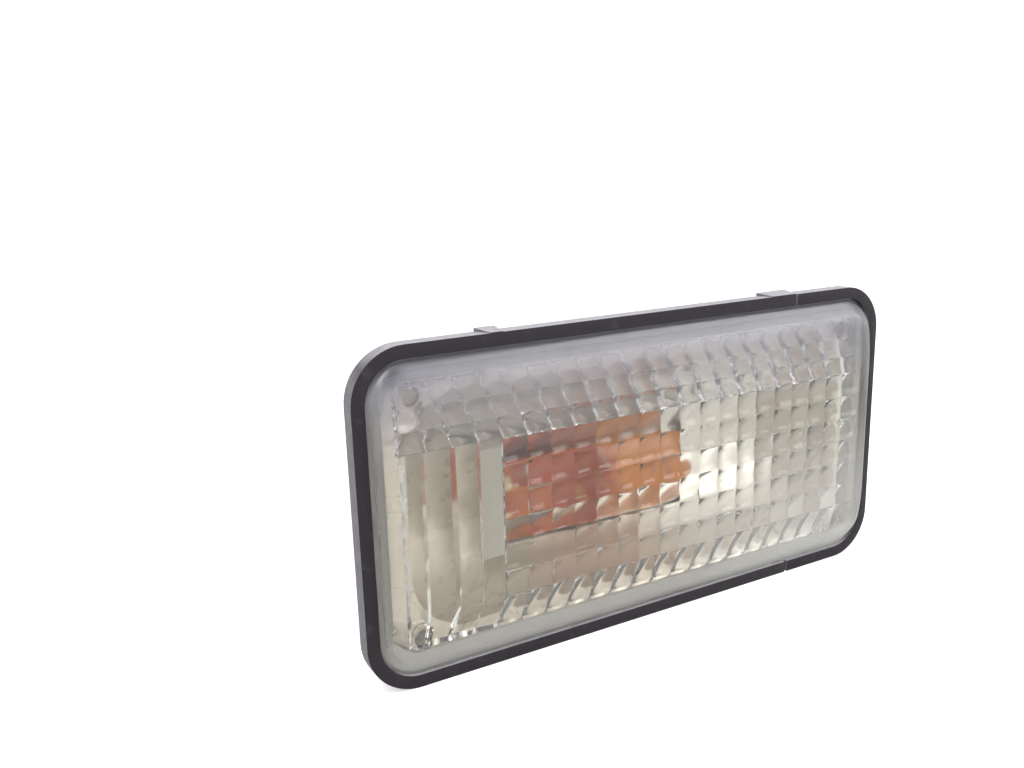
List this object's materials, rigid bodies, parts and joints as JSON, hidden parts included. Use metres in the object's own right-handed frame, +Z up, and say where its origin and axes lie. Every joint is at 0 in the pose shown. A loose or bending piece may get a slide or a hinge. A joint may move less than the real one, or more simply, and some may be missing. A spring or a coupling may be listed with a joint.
{
  "type": "side repeater lamp",
  "caption": "Oblong side repeater lamp for a car wing: clear prismatic lens in a black surround, amber wedge-base bulb lying behind it, tray housing with hook, spring clip and plug socket.",
  "frame": {"origin": "centre of the plane in which the surround's sealing lip meets the outer face of the car's wing", "axes": "+X along the lamp from the hook end to the clip end, +Y back into the wing, +Z up; the lens looks towards -Y"},
  "size_m": [0.0754, 0.0303, 0.0384],
  "materials": {
    "clear_lens": "clear moulded, slightly hazed",
    "black_rubber": "satin black",
    "pale_plastic": "pale grey moulded",
    "satin_reflector": "satin metallised",
    "cream_plastic": "cream moulded",
    "contact_brass": "stamped",
    "amber_glass": "amber coated",
    "filament_wire": "coiled wire",
    "lead_wire": "drawn wire",
    "spring_steel": "bent strip"
  },
  "bodies": {
    "root": {"lens": "clear_lens", "surround": "black_rubber", "housing": "pale_plastic", "reflector": "satin_reflector", "bulb_holder": "cream_plastic", "holder_seal": "black_rubber", "contact_feed": "contact_brass", "contact_ground": "contact_brass", "bulb_glass": "amber_glass", "filament": "filament_wire", "bulb_lead_feed": "lead_wire", "bulb_lead_ground": "lead_wire", "spring_clip": "spring_steel"}
  },
  "joints": []
}
